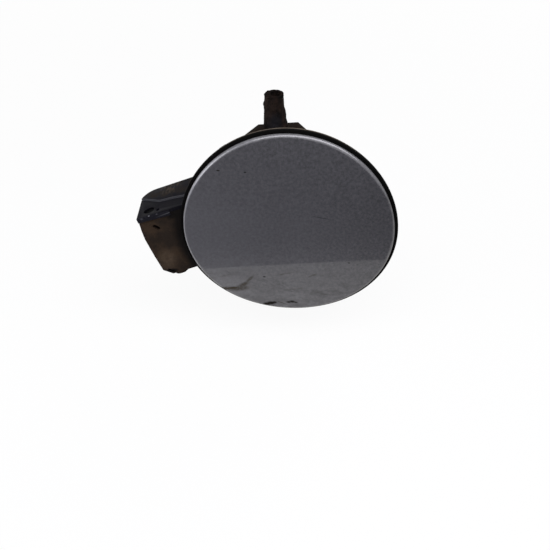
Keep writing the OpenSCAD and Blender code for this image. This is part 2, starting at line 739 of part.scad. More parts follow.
// Catch on the flap: riveted foot and an upright plate with the bolt's eye
module catch() {
    foot_y0 = dish_in + 0.6;
    eye = bolt_r + catch_gap;
    color([0.12, 0.12, 0.13]) lock_frame() difference() {
        union() {
            block([catch_x - 16, foot_y0, -9], [catch_x + catch_t, foot_y0 + 2.4, 9]);
            block([catch_x, foot_y0, -eye - catch_rim], [catch_x + catch_t, lock_y + eye + catch_rim, eye + catch_rim]);
            front_rib(-1.5, 3) polygon([[catch_x + 0.5, foot_y0 + 1], [catch_x - 13, foot_y0 + 1],
                                        [catch_x + 0.5, lock_y - eye - catch_rim]]);
        }
        block([catch_x - 4, lock_y - eye, -eye], [catch_x + catch_t + over, lock_y + eye, eye]);
        for (s = [-1, 1]) y_bar(1.7, foot_y0 - over, foot_y0 + 4, catch_x - 8, s * 5.5, $fn = fine);
    }
}

// Rivets through the catch's foot
module catch_rivets() {
    foot_y0 = dish_in + 0.6;
    color("silver") lock_frame() for (s = [-1, 1]) {
        y_bar(1.6, foot_y0 - 0.2, foot_y0 + 2.6, catch_x - 8, s * 5.5, $fn = fine);
        y_bar(2.9, foot_y0 + 2.45, foot_y0 + 3.5, catch_x - 8, s * 5.5, $fn = fine);
    }
}

// Locking bolt, shown drawn back from the catch
module lock_bolt() {
    color([0.9, 0.88, 0.82]) lock_frame() union() {
        x_bar(bolt_r - 0.8, bolt_x, bolt_x + 1, lock_y);
        x_bar(bolt_r, bolt_x + 0.8, shoulder_x, lock_y);
        x_bar(tail_r, shoulder_x - over, tail_x, lock_y);
        x_bar(bolt_r - 0.1, tail_x - collar_t, tail_x, lock_y);
    }
}

bowl();
pocket_cover();
cover_screw();
rim_seal();
neck_boot();
boot_band();
drain_spout();
hinge_pin();
pin_clip();
hinge_spring();
lock_guide();
lock_spring();
upper_buffer();
lower_buffer();
body_clips();
outer_skin();
inner_panel();
hinge_arm();
arm_screws();
upper_bush();
lower_bush();
cap_holder();
catch();
catch_rivets();
lock_bolt();
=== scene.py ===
"""Looks of a round car fuel door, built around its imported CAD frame."""

import math

import bpy
from mathutils import Matrix, Vector, noise


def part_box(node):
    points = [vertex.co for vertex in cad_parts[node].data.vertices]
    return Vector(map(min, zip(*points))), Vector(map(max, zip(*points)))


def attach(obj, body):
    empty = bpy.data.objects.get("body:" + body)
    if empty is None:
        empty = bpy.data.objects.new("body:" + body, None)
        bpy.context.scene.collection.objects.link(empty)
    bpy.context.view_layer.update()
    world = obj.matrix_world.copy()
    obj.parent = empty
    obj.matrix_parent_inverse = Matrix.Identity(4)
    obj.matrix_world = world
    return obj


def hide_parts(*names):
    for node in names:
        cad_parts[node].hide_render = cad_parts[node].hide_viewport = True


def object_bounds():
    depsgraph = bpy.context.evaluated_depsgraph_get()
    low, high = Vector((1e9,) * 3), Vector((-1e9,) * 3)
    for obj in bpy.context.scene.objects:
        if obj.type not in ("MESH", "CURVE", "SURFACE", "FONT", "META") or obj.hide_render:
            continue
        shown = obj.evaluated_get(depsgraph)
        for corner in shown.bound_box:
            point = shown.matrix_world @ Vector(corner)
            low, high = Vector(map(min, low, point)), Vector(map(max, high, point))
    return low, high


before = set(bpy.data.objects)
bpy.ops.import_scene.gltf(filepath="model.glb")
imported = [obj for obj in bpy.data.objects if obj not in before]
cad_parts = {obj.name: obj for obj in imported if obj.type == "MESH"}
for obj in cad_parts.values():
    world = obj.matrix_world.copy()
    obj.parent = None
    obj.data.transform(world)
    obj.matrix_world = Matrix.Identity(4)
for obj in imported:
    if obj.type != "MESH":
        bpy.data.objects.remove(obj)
cad_low, cad_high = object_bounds()
bpy.ops.object.select_all(action="DESELECT")

# Camera. It looks down on the standing flap from in front, a little from the left,
# at the photograph's distance and framing.
FRAME_PX = 550
FOCAL_PX = 1000
VIEW_AZIMUTH = math.radians(4.16)
VIEW_ELEVATION = math.radians(37.66)
VIEW_RIGHT, VIEW_UP, VIEW_BACK = 0.01031, 0.03358, 0.77855
right = Vector((math.cos(VIEW_AZIMUTH), math.sin(VIEW_AZIMUTH), 0))
ahead = Vector((-math.sin(VIEW_AZIMUTH) * math.cos(VIEW_ELEVATION),
                math.cos(VIEW_AZIMUTH) * math.cos(VIEW_ELEVATION), -math.sin(VIEW_ELEVATION)))
upward = right.cross(ahead)
camera_data = bpy.data.cameras.new("camera")
camera_data.sensor_width = 36
camera_data.lens = camera_data.sensor_width * FOCAL_PX / FRAME_PX
camera_data.clip_start, camera_data.clip_end = 0.01, 20
camera = bpy.data.objects.new("camera", camera_data)
bpy.context.scene.collection.objects.link(camera)
place = -VIEW_RIGHT * right - VIEW_UP * upward - VIEW_BACK * ahead
camera.matrix_world = Matrix.Translation(place) @ Matrix(
    (right, upward, -ahead)).transposed().to_4x4()
bpy.context.scene.camera = camera
bpy.context.scene.view_settings.view_transform = "Standard"

# Floor. A plain pale sheet, as far below the unit as the open flap hangs down, and pure
# white far away. The glossy paint mirrors its near part pale and the ground beyond it dark,
# along a slanting edge.
FLAP_HANG = 0.0303
FLOOR_SIZE = 8.0
FLOOR_COLOUR = (0.86, 0.86, 0.86, 1)
MIRROR_EDGE_Y, MIRROR_EDGE_SLANT = -0.0874, -0.206
NEAR_MIRRORED = (0.68, 0.67, 0.65, 1)
FAR_MIRRORED = (0.025, 0.026, 0.032, 1)
MIRROR_EDGE_SOFT = 0.0015
WHITE_UNDER = 0.92
WHITE_FROM, WHITE_TO = 0.35, 1.2


def added(tree, kind, **values):
    """A new shader node with some of its inputs set by name."""
    node = tree.nodes.new("ShaderNode" + kind)
    for name, value in values.items():
        node.inputs[name.replace("_", " ")].default_value = value
    return node


def wire(tree, *pairs):
    """Joins pairs of sockets."""
    for start, end in pairs:
        tree.links.new(start, end)


bpy.ops.mesh.primitive_plane_add(size=FLOOR_SIZE, location=(0, 0, cad_low.z - FLAP_HANG))
floor = bpy.context.object
floor.name = "floor"
paper = bpy.data.materials.new("floor_sheet")
paper.use_nodes = True
tree = paper.node_tree
tree.nodes.clear()
ray = added(tree, "LightPath")
where = added(tree, "TexCoord")
sheet = added(tree, "BsdfDiffuse", Color=FLOOR_COLOUR)
white = added(tree, "Emission")
seen = added(tree, "MixShader")
distance = added(tree, "VectorMath")
distance.operation = "LENGTH"
far_off = added(tree, "MapRange", From_Min=WHITE_FROM, From_Max=WHITE_TO, To_Min=WHITE_UNDER)
wire(tree, (where.outputs["Object"], distance.inputs[0]),
     (distance.outputs["Value"], far_off.inputs["Value"]),
     (far_off.outputs[0], seen.inputs[0]),
     (sheet.outputs[0], seen.inputs[1]),
     (white.outputs[0], seen.inputs[2]))
axes = added(tree, "SeparateXYZ")
slant = added(tree, "Math")
slant.operation = "MULTIPLY_ADD"
slant.inputs[1].default_value = -MIRROR_EDGE_SLANT
edge = added(tree, "MapRange", From_Min=MIRROR_EDGE_Y - MIRROR_EDGE_SOFT,
             From_Max=MIRROR_EDGE_Y + MIRROR_EDGE_SOFT)
ground = added(tree, "Mix")
ground.data_type = "RGBA"
ground.inputs[6].default_value = FAR_MIRRORED
ground.inputs[7].default_value = NEAR_MIRRORED
mirrored = added(tree, "Emission")
wire(tree, (where.outputs["Object"], axes.inputs[0]),
     (axes.outputs["X"], slant.inputs[0]),
     (axes.outputs["Y"], slant.inputs[2]),
     (slant.outputs[0], edge.inputs["Value"]),
     (edge.outputs[0], ground.inputs[0]),
     (ground.outputs[2], mirrored.inputs["Color"]))
by_glossy = added(tree, "MixShader")
by_camera = added(tree, "MixShader")
out = added(tree, "OutputMaterial")
wire(tree, (ray.outputs["Is Glossy Ray"], by_glossy.inputs[0]),
     (sheet.outputs[0], by_glossy.inputs[1]),
     (mirrored.outputs[0], by_glossy.inputs[2]),
     (ray.outputs["Is Camera Ray"], by_camera.inputs[0]),
     (by_glossy.outputs[0], by_camera.inputs[1]),
     (seen.outputs[0], by_camera.inputs[2]),
     (by_camera.outputs[0], out.inputs[0]))
floor.data.materials.append(paper)

# Light. A long soft ceiling lamp across the front of the unit, a weak fill from the left,
# another from behind, and an even white surround.
SURROUND_COLOUR = (0.93, 0.95, 1, 1)
SURROUND_STRENGTH = 0.2
world = bpy.data.worlds.new("surround")
bpy.context.scene.world = world
world.use_nodes = True
tree = world.node_tree
tree.nodes.clear()
ray = added(tree, "LightPath")
lit = added(tree, "Background", Color=SURROUND_COLOUR, Strength=SURROUND_STRENGTH)
plain = added(tree, "Background", Color=(1, 1, 1, 1))
pick = added(tree, "MixShader")
out = added(tree, "OutputWorld")
either = added(tree, "Math")
shown = added(tree, "Math")
either.operation = shown.operation = "MAXIMUM"
wire(tree, (ray.outputs["Is Transmission Ray"], either.inputs[0]),
     (ray.outputs["Is Glossy Ray"], either.inputs[1]),
     (ray.outputs["Is Camera Ray"], shown.inputs[0]),
     (either.outputs[0], shown.inputs[1]),
     (shown.outputs[0], pick.inputs[0]),
     (lit.outputs[0], pick.inputs[1]),
     (plain.outputs[0], pick.inputs[2]),
     (pick.outputs[0], out.inputs[0]))


def soft_lamp(name, width, depth, energy, location, colour):
    lamp = bpy.data.lights.new(name, "AREA")
    lamp.shape = "RECTANGLE"
    lamp.size, lamp.size_y, lamp.energy, lamp.color = width, depth, energy, colour
    holder = bpy.data.objects.new(name, lamp)
    bpy.context.scene.collection.objects.link(holder)
    holder.location = location
    holder.rotation_euler = (-Vector(location)).to_track_quat("-Z", "Y").to_euler()


soft_lamp("ceiling", 2.0, 0.75, 20, (0.25, -0.55, 1.1), (0.98, 0.97, 1))
soft_lamp("fill", 0.9, 0.9, 7, (-1.2, -0.7, 0.5), (0.95, 0.96, 1))
soft_lamp("back", 0.8, 0.8, 4, (0.5, 1.1, 0.8), (1, 1, 1))

# Flap skin. One round sheet of body steel, crowned from top to bottom, its edge folded
# back over the inner panel in a rounded hem; silver-grey metallic paint under clear coat.
FLAP_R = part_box("outer_skin")[1].x
CROWN_R = 0.565
SHEET = 0.0008
HEM_IN = 0.0028
HEM_WIDTH = 0.0075
HEM_CORNER = 0.0004
EDGE_ROUND = 0.0024
HUB_R = 0.004
SKIN_RINGS = [r / 1000 for r in range(12, 80, 8)]
BACK_RING = 0.04
PAINT_ROUGH, DIRT_ROUGH = 0.40, 0.75
PAINT_METAL = 0.62
PAINT_MIDDLE = (0.098, 0.097, 0.107, 1)
PAINT_LIT_LEFT = (0.143, 0.143, 0.157, 1)
PAINT_SHADED_RIGHT_AND_TOP = (0.052, 0.051, 0.056, 1)
PAINT_FLAKE = (0.27, 0.265, 0.30, 1)
PAINTED_EDGE_HIGHLIGHT = (0.40, 0.40, 0.43, 1)
GRIME = (0.008, 0.0065, 0.0045, 1)
SMEAR = (0.034, 0.026, 0.015, 1)


def crown(z):
    """Depth of the crowned outer face at height z."""
    return CROWN_R - math.sqrt(CROWN_R ** 2 - z * z)


def arc(centre, radius, start, end, steps):
    """Points of [radius, depth] round an arc, its angles in degrees from outwards to back."""
    return [(centre[0] + radius * math.cos(math.radians(start + (end - start) * i / steps)),
             centre[1] + radius * math.sin(math.radians(start + (end - start) * i / steps)))
            for i in range(steps + 1)]


def turned(name, outline, segments, centre=(0, 0), closed=False):
    """A form turned about the Y axis: a circle pulled along an outline of [radius, depth]."""
    bpy.ops.object.select_all(action="DESELECT")
    start = outline[0]
    bpy.ops.mesh.primitive_circle_add(
        vertices=segments, radius=start[0], fill_type="NOTHING" if closed else "TRIFAN",
        location=(centre[0], start[1], centre[1]), rotation=(math.radians(90), 0, 0))
    piece = bpy.context.object
    piece.name = piece.data.name = name
    bpy.ops.object.transform_apply(location=True, rotation=True, scale=True)
    bpy.ops.object.mode_set(mode="EDIT")
    bpy.ops.mesh.select_mode(type="EDGE")
    bpy.ops.mesh.select_all(action="SELECT")
    if not closed:
        bpy.ops.mesh.region_to_loop()
    before = start
    for r, y in outline[1:]:
        bpy.ops.mesh.extrude_edges_move()
        grow = r / before[0]
        bpy.ops.transform.resize(value=(grow, 1, grow),
                                 center_override=(centre[0], before[1], centre[1]))
        bpy.ops.transform.translate(value=(0, y - before[1], 0))
        before = (r, y)
    if closed:
        bpy.ops.mesh.select_all(action="SELECT")
        bpy.ops.mesh.remove_doubles(threshold=1e-6)
    else:
        bpy.ops.mesh.fill()
    bpy.ops.mesh.select_all(action="SELECT")
    bpy.ops.mesh.normals_make_consistent(inside=False)
    bpy.ops.object.mode_set(mode="OBJECT")
    return piece


def bowed(piece):
    """Lays a flat turned form on the crowned surface."""
    for v in piece.data.vertices:
        v.co.y += crown(v.co.z)


def smooth(piece, degrees):
    bpy.ops.object.select_all(action="DESELECT")
    piece.select_set(True)
    bpy.context.view_layer.objects.active = piece
    bpy.ops.object.shade_smooth_by_angle(angle=math.radians(degrees))


def fitted(piece, body, slot, material, *nodes):
    """Gives a finished piece its material, its body and the CAD nodes it stands for."""
    piece.data.materials.clear()
    piece.data.materials.append(material)
    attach(piece, body)
    if nodes:
        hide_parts(*nodes)


class Finish:
    """A material: one Principled shader with patterns on Object coordinates."""

    def __init__(self, name, roughness, metallic=0.0, coat=0.0, coat_roughness=0.03,
                 specular=0.5):
        self.material = bpy.data.materials.new(name)
        self.material.use_nodes = True
        self.tree = self.material.node_tree
        self.shader = self.tree.nodes["Principled BSDF"]
        for socket, value in (("Metallic", metallic), ("Roughness", roughness),
                              ("Coat Weight", coat), ("Coat Roughness", coat_roughness),
                              ("Specular IOR Level", specular)):
            self.shader.inputs[socket].default_value = value
        self.where = added(self.tree, "TexCoord").outputs["Object"]

    def join(self, a, b):
        self.tree.links.new(a, b)

    def feed(self, value, socket):
        """Sets a socket to a number or a colour, or joins a pattern to it."""
        if isinstance(value, (int, float, tuple)):
            socket.default_value = value
        else:
            self.join(value, socket)

    def noise(self, scale, detail=4.0, rough=0.6, stretch=None, swirl=0.0):
        """Noise from 0 to 1, in waves of about 1/scale metres."""
        texture = added(self.tree, "TexNoise", Scale=scale, Detail=detail, Roughness=rough,
                        Distortion=swirl)
        place = self.where
        if stretch:
            mapping = added(self.tree, "Mapping", Scale=stretch)
            self.join(place, mapping.inputs["Vector"])
            place = mapping.outputs[0]
        self.join(place, texture.inputs["Vector"])
        return texture.outputs["Fac"]

    def ramp(self, value, low, high, to_low=0.0, to_high=1.0):
        """Maps a value's part from low to high to to_low to to_high, and clamps it."""
        node = added(self.tree, "MapRange", From_Min=low, From_Max=high,
                     To_Min=to_low, To_Max=to_high)
        self.join(value, node.inputs["Value"])
        return node.outputs[0]

    def maths(self, operation, a, b=0.0):
        node = added(self.tree, "Math")
        node.operation = operation
        self.feed(a, node.inputs[0])
        self.feed(b, node.inputs[1])
        return node.outputs[0]

    def mix(self, mask, a, b):
        """Colour a where the mask is 0 and b where it is 1."""
        node = added(self.tree, "Mix")
        node.data_type = "RGBA"
        self.join(mask, node.inputs[0])
        self.feed(a, node.inputs[6])
        self.feed(b, node.inputs[7])
        return node.outputs[2]

    def axis(self, name):
        node = added(self.tree, "SeparateXYZ")
        self.join(self.where, node.inputs[0])
        return node.outputs[name]

    def spot(self, centre, radius, soft, size=(1, 1, 1), turn=0.0):
        """1 within a radius of a place and 0 outside it, over a soft edge; size stretches it
        and turn leans it about the Y axis, in degrees."""
        mapping = added(self.tree, "Mapping", Location=centre,
                        Rotation=(0, math.radians(-turn), 0), Scale=size)
        mapping.vector_type = "TEXTURE"
        self.join(self.where, mapping.inputs["Vector"])
        length = added(self.tree, "VectorMath")
        length.operation = "LENGTH"
        self.join(mapping.outputs[0], length.inputs[0])
        return self.ramp(length.outputs["Value"], radius - soft, radius + soft, 1.0, 0.0)

    def most(self, *masks):
        """The largest of some masks at each place."""
        result = masks[0]
        for mask in masks[1:]:
            result = self.maths("MAXIMUM", result, mask)
        return result

    def colour(self, value):
        self.feed(value, self.shader.inputs["Base Color"])

    def rough(self, value):
        self.join(value, self.shader.inputs["Roughness"])

    def bump(self, height, strength, distance):
        node = added(self.tree, "Bump", Strength=strength, Distance=distance)
        self.join(height, node.inputs["Height"])
        self.join(node.outputs[0], self.shader.inputs["Normal"])


skin_outline = (
    [(HUB_R, 0)] + [(r, 0) for r in SKIN_RINGS] + [(FLAP_R - EDGE_ROUND - HEM_CORNER, 0)]
    + arc((FLAP_R - EDGE_ROUND, EDGE_ROUND), EDGE_ROUND, -90, 0, 6)
    + arc((FLAP_R - HEM_CORNER, HEM_IN - HEM_CORNER), HEM_CORNER, 0, 90, 3)
    + [(FLAP_R - HEM_WIDTH, HEM_IN), (FLAP_R - HEM_WIDTH, HEM_IN - SHEET),
       (FLAP_R - SHEET, HEM_IN - SHEET), (FLAP_R - SHEET, SHEET),
       (BACK_RING, SHEET), (HUB_R, SHEET)])
skin = turned("flap_skin", skin_outline, 256)
bowed(skin)
smooth(skin, 35)

paint = Finish("silver_grey_paint", PAINT_ROUGH, metallic=PAINT_METAL, coat=1.0,
               coat_roughness=0.012)
# Painted light and shade: the paint is lighter towards the left and darker towards the right and
# the top.
across = paint.axis("X")
body = paint.mix(paint.ramp(across, -0.085, -0.01), PAINT_LIT_LEFT, PAINT_MIDDLE)
body = paint.mix(paint.ramp(across, 0.01, 0.085), body, PAINT_SHADED_RIGHT_AND_TOP)
body = paint.mix(paint.ramp(paint.axis("Z"), 0.01, 0.08, 0.0, 0.85), body, PAINT_SHADED_RIGHT_AND_TOP)
# Painted highlight along the flap's left edge.
within = paint.spot((0, 0, 0), FLAP_R - 0.0011, 0.0006, (1, 40, 1))
edge_highlight = paint.ramp(within, 0, 1, 1.0, 0.0)
edge_highlight = paint.maths("MULTIPLY", edge_highlight, paint.ramp(across, -0.050, -0.074))
body = paint.mix(edge_highlight, body, PAINTED_EDGE_HIGHLIGHT)
flakes = paint.maths("ADD", paint.ramp(paint.noise(2200, 2, 0.7), 0.35, 0.72, 0.0, 0.26),
                     paint.ramp(paint.noise(430, 3, 0.6), 0.35, 0.70, 0.0, 0.22))
body = paint.mix(flakes, body, PAINT_FLAKE)
# Dirt specks: place and radius.
SPECKS = [((-0.0535, 0.0024, 0.0519), 0.0008), ((-0.0331, 0.0023, 0.0513), 0.0006),
          ((-0.0192, 0.0019, -0.0468), 0.0008), ((0.0485, 0.0007, -0.0282), 0.0006),
          ((0.0549, 0.0008, -0.0299), 0.0004), ((-0.0172, 0.0053, -0.0776), 0.0023),
          ((-0.0142, 0.0052, -0.0764), 0.0025), ((-0.0112, 0.0050, -0.0755), 0.0016),
          ((0.0008, 0.0048, -0.0744), 0.0013), ((0.0036, 0.0048, -0.0737), 0.0017),
          ((0.0064, 0.0048, -0.0743), 0.0011)]
ragged = paint.ramp(paint.noise(900, 4, 0.7), 0.30, 0.46, 0.70, 1.0)
specks = paint.most(*(
    paint.maths("MULTIPLY", paint.spot(centre, radius, radius * 0.5, (1.5, 2, 0.8)), ragged)
    for centre, radius in SPECKS))
# Brown smears: place, stretch, lean in degrees and strength.
STROKES = [((-0.0465, 0.003, -0.0611), (6.2, 6, 0.80), 7, 0.92),
           ((-0.0400, 0.003, -0.0610), (4.2, 6, 1.35), 12, 0.80),
           ((-0.0362, 0.003, -0.0565), (2.8, 6, 0.95), 38, 0.82),
           ((-0.0315, 0.003, -0.0506), (2.4, 6, 0.60), 50, 0.80),
           ((-0.0058, 0.005, -0.0752), (2.4, 6, 0.26), -24, 0.70),
           ((0.0200, 0.002, -0.0430), (1.8, 6, 0.45), 30, 0.42),
           ((-0.0020, 0.003, -0.0425), (3.8, 6, 0.40), 16, 0.34),
           ((0.0050, 0.003, -0.0590), (3.6, 6, 0.35), 12, 0.34),
           ((-0.0510, 0.003, -0.0475), (2.2, 6, 0.50), 20, 0.30)]
STROKE_R, STROKE_SOFT = 0.0020, 0.0009
fibres = paint.noise(340, 5, 0.7, swirl=1.5)
smear = paint.most(*(
    paint.maths("MULTIPLY", paint.spot(centre, STROKE_R, STROKE_SOFT, size, turn),
                paint.ramp(fibres, 0.36, 0.52, 0.55 * strength, strength))
    for centre, size, turn, strength in STROKES))
swirls = paint.ramp(paint.noise(38, 6, 0.66, (1, 1, 2.0), swirl=1.6), 0.42, 0.72, 0.0, 0.48)
low_down = paint.ramp(paint.axis("Z"), -0.034, -0.052)
scratch = paint.spot((0.0255, 0.0002, 0.0142), 0.0008, 0.0004, (7.4, 20, 0.40), -10)
dirt = paint.most(specks, paint.maths("MULTIPLY", swirls, low_down),
                  paint.maths("MULTIPLY", scratch, 0.6))
paint.colour(paint.mix(smear, paint.mix(dirt, body, GRIME), SMEAR))
dirt = paint.most(dirt, smear)
paint.rough(paint.ramp(dirt, 0, 1, PAINT_ROUGH, DIRT_ROUGH))
for socket, clean, dirty in (("Coat Weight", 1.0, 0.0), ("Metallic", PAINT_METAL, 0.0),
                             ("Specular IOR Level", 0.5, 0.03)):
    paint.join(paint.ramp(dirt, 0.3, 0.9, clean, dirty), paint.shader.inputs[socket])
paint.bump(paint.noise(420, 2, 0.5), 0.04, 0.0003)
fitted(skin, "flap", "body_paint", paint.material, "outer_skin")

# Inner panel. A pressed steel panel with a dish, pads for the arm's screws and three
# lightening holes, held in the skin's hem; thin satin primer.
PRIMER = (0.105, 0.105, 0.118, 1)
PRIMER_STAIN = (0.075, 0.072, 0.078, 1)
MERGE_DISTANCE = 2e-6
FLAT_WITHIN = math.radians(0.6)
SHARP_FROM = math.radians(38)
SHADE_FROM = 32


def softened(node, name, radius, segments=2):
    """A copy of a CAD node whose sharp edges have a small radius."""
    bpy.ops.object.select_all(action="DESELECT")
    piece = bpy.data.objects.new(name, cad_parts[node].data.copy())
    piece.data.name = name
    bpy.context.scene.collection.objects.link(piece)
    piece.select_set(True)
    bpy.context.view_layer.objects.active = piece
    bpy.ops.object.mode_set(mode="EDIT")
    bpy.ops.mesh.select_all(action="SELECT")
    bpy.ops.mesh.remove_doubles(threshold=MERGE_DISTANCE)
    bpy.ops.mesh.dissolve_limited(angle_limit=FLAT_WITHIN)
    bpy.ops.object.mode_set(mode="OBJECT")
    bevel = piece.modifiers.new("edges", "BEVEL")
    bevel.limit_method = "ANGLE"
    bevel.angle_limit = SHARP_FROM
    bevel.width, bevel.segments = radius, segments
    bevel.use_clamp_overlap = True
    bpy.ops.object.modifier_apply(modifier=bevel.name)
    smooth(piece, SHADE_FROM)
    return piece


def mottled(finish, pattern, low, high, clean, stained):
    """Gives a finish its clean colour where a pattern is low and its stained one where high."""
    finish.colour(finish.mix(finish.ramp(pattern, low, high), clean, stained))


def patchy_gloss(finish, scale, glossy, dull):
    """Lets a finish's roughness drift between two values."""
    finish.rough(finish.ramp(finish.noise(scale, 4), 0.3, 0.7, glossy, dull))


primer = Finish("panel_primer", 0.5)
mottled(primer, primer.noise(60, 5), 0.4, 0.7, PRIMER, PRIMER_STAIN)
patchy_gloss(primer, 140, 0.38, 0.62)
primer.bump(primer.noise(900, 2), 0.08, 0.0002)
panel = softened("inner_panel", "panel_pressing", 0.0005)
fitted(panel, "flap", "panel_paint", primer.material, "inner_panel")

# Hinge arm. A gooseneck of coated steel with two bushed eyes and a foot that three
# screws hold to the inner panel.
COATING, COATING_STAIN = (0.030, 0.030, 0.034, 1), (0.075, 0.062, 0.050, 1)
ZINC, ZINC_STAIN = (0.55, 0.55, 0.54, 1), (0.30, 0.27, 0.23, 1)
steel_coat = Finish("arm_coating", 0.45)
mottled(steel_coat, steel_coat.noise(90, 6, 0.7), 0.5, 0.75, COATING, COATING_STAIN)
patchy_gloss(steel_coat, 160, 0.35, 0.7)
steel_coat.bump(steel_coat.noise(700, 3), 0.15, 0.0003)
arm = softened("hinge_arm", "gooseneck", 0.0004)
fitted(arm, "flap", "arm_steel", steel_coat.material, "hinge_arm")

zinc = Finish("zinc_plate", 0.32, metallic=1.0)
mottled(zinc, zinc.noise(240, 5, 0.7), 0.45, 0.7, ZINC, ZINC_STAIN)
patchy_gloss(zinc, 300, 0.25, 0.5)
zinc.bump(zinc.noise(1200, 2), 0.08, 0.0002)
for node in ("arm_screws", "catch_rivets", "cover_screw"):
    screws = softened(node, node + "_heads", 0.00025)
    rider = "housing" if node == "cover_screw" else "flap"
    fitted(screws, rider, "zinc", zinc.material, node)

# Bushes. Flanged liners of pale low-friction plastic, pressed into the arm's two eyes, so
# that the arm turns on them and not on the bare pin.
NYLON, NYLON_STAIN = (0.62, 0.60, 0.53, 1), (0.33, 0.28, 0.21, 1)
pale = Finish("pale_nylon", 0.42)
mottled(pale, pale.noise(120, 5, 0.7), 0.45, 0.75, NYLON, NYLON_STAIN)
pale.bump(pale.noise(800, 2), 0.1, 0.0002)
for node in ("upper_bush", "lower_bush"):
    liner = softened(node, node + "_liner", 0.0002)
    fitted(liner, "flap", "pale_plastic", pale.material, node)

# Cap holder and catch. Black moulded clips on the back of the flap: one parks the filler
# cap while fuelling, the other takes the locking bolt.
MOULDING, MOULDING_DUST = (0.016, 0.016, 0.018, 1), (0.055, 0.047, 0.038, 1)
black = Finish("black_moulding", 0.42)
mottled(black, black.noise(130, 5, 0.7), 0.5, 0.8, MOULDING, MOULDING_DUST)
patchy_gloss(black, 110, 0.35, 0.65)
black.bump(black.noise(1000, 2), 0.12, 0.0002)
for node, name in (("cap_holder", "cap_clip"), ("catch", "bolt_catch")):
    clip = softened(node, name, 0.0004)
    fitted(clip, "flap", "black_plastic", black.material, node)

# Bowl. One dark moulding with its rim flange, tapered wall, hinge pocket and sump; the
# outside is brown with road dust, thickest low on the pocket, and has painted shade
# beside the flap's edge and in the pocket's hollows.
BARE = (0.007, 0.006, 0.006, 1)
DUST = (0.030, 0.0195, 0.0130, 1)
PALE_DUST = (0.060, 0.042, 0.029, 1)
PAINTED_SHADE_BLACK = (0.0045, 0.004, 0.004, 1)
CLAY = (0.0062, 0.0033, 0.0018, 1)
shell = Finish("dusty_moulding", 0.75, specular=0.05)
film = shell.most(shell.ramp(shell.noise(55, 7, 0.62), 0.34, 0.62), 0.4)
patch = shell.maths("MULTIPLY",
                    shell.spot((-0.0988, 0.0108, -0.0400), 0.0062, 0.0035, (1, 3, 1.3)),
                    shell.ramp(shell.noise(160, 6, 0.7), 0.35, 0.6, 0.3, 1.0))
grit = shell.ramp(shell.noise(420, 4, 0.8), 0.60, 0.74, 0.0, 0.6)
pale_dust = shell.most(patch, shell.maths("MULTIPLY", grit, film))
body = shell.mix(pale_dust, shell.mix(film, BARE, DUST), PALE_DUST)
# Painted shade in the pocket's hollows and in the lid's shadow: place, radius, stretch and lean in
# degrees.
SHADE_SPOTS = [((-0.0978, 0.0108, -0.0522), 0.0030, (2.3, 2, 0.68), 16),
           ((-0.1057, 0.0108, -0.0087), 0.0022, (1.3, 1, 0.75), -32),
           ((-0.0893, 0.0108, 0.0064), 0.0032, (2.8, 3, 1.0), 46)]
# Painted shade in a band round the flap's edge, on the left side.
flap_edge_shade = shell.maths("MULTIPLY", shell.spot((0, 0, 0), 0.0925, 0.0030, (1, 40, 1)),
                       shell.ramp(shell.axis("X"), -0.05, -0.06))
shade_spots = (shell.spot(centre, radius, radius * 0.25, size, turn)
           for centre, radius, size, turn in SHADE_SPOTS)
shade = shell.ramp(shell.most(flap_edge_shade, *shade_spots), 0, 1, 0.0, 0.9)
clay = shell.maths("MULTIPLY", shell.ramp(shell.axis("Z"), 0.055, 0.064),
                   shell.ramp(shell.noise(130, 6, 0.7), 0.35, 0.60, 0.8, 1.0))
shell.colour(shell.mix(clay, shell.mix(shade, body, PAINTED_SHADE_BLACK), CLAY))
shell.rough(shell.ramp(film, 0, 1, 0.55, 0.85))
shell.join(shell.ramp(clay, 0, 1, 0.05, 0.022), shell.shader.inputs["Specular IOR Level"])
shell.bump(shell.noise(650, 4, 0.7), 0.25, 0.0005)
bowl = softened("bowl", "bowl_moulding", 0.0006)
HINGE_LEAN = math.radians(23)
outward = Vector((-math.cos(HINGE_LEAN), 0, -math.sin(HINGE_LEAN)))
axis_up = Vector((-math.sin(HINGE_LEAN), 0, math.cos(HINGE_LEAN)))
# Swell of the pocket's outer wall: height along the hinge's axis and size.
BULGE = [(-0.0130, 0.0), (-0.0070, 0.0005), (0.0080, 0.0019), (0.0200, 0.0025), (0.0260, 0.0028),
         (0.0340, 0.0022), (0.0420, 0.0010), (0.0600, 0.0)]
WALL_FROM, SWELL_FROM, SWELL_FULL = 0.100, 0.1018, 0.1108
bpy.ops.object.mode_set(mode="EDIT")
bpy.ops.mesh.select_mode(type="FACE")
for level, _ in BULGE[2:6]:
    bpy.ops.mesh.select_all(action="DESELECT")
    bpy.ops.object.mode_set(mode="OBJECT")
    for face in bowl.data.polygons:
        on_wall = face.center.dot(outward) > WALL_FROM
        face.select = on_wall and abs(face.normal.dot(outward)) > 0.15
    bpy.ops.object.mode_set(mode="EDIT")
    bpy.ops.mesh.bisect(plane_co=level * axis_up, plane_no=axis_up)
bpy.ops.object.mode_set(mode="OBJECT")
for v in bowl.data.vertices:
    level, reach = v.co.dot(axis_up), v.co.dot(outward)
    share = min(max((reach - SWELL_FROM) / (SWELL_FULL - SWELL_FROM), 0.0), 1.0)
    for (z0, s0), (z1, s1) in zip(BULGE, BULGE[1:]):
        if z0 <= level < z1:
            v.co += outward * (s0 + (s1 - s0) * (level - z0) / (z1 - z0)) * share
            break
# The sump's top right corner is worn down a little.
SUMP_CORNER = Vector((0.0055, 0, 0.0730))
SUMP_WEAR = Vector((-0.0012, 0, -0.0007))
for v in bowl.data.vertices:
    from_corner = Vector((v.co.x, 0, v.co.z)) - SUMP_CORNER
    if from_corner.length < 0.0004:
        v.co += SUMP_WEAR
fitted(bowl, "housing", "bowl_plastic", shell.material, "bowl")
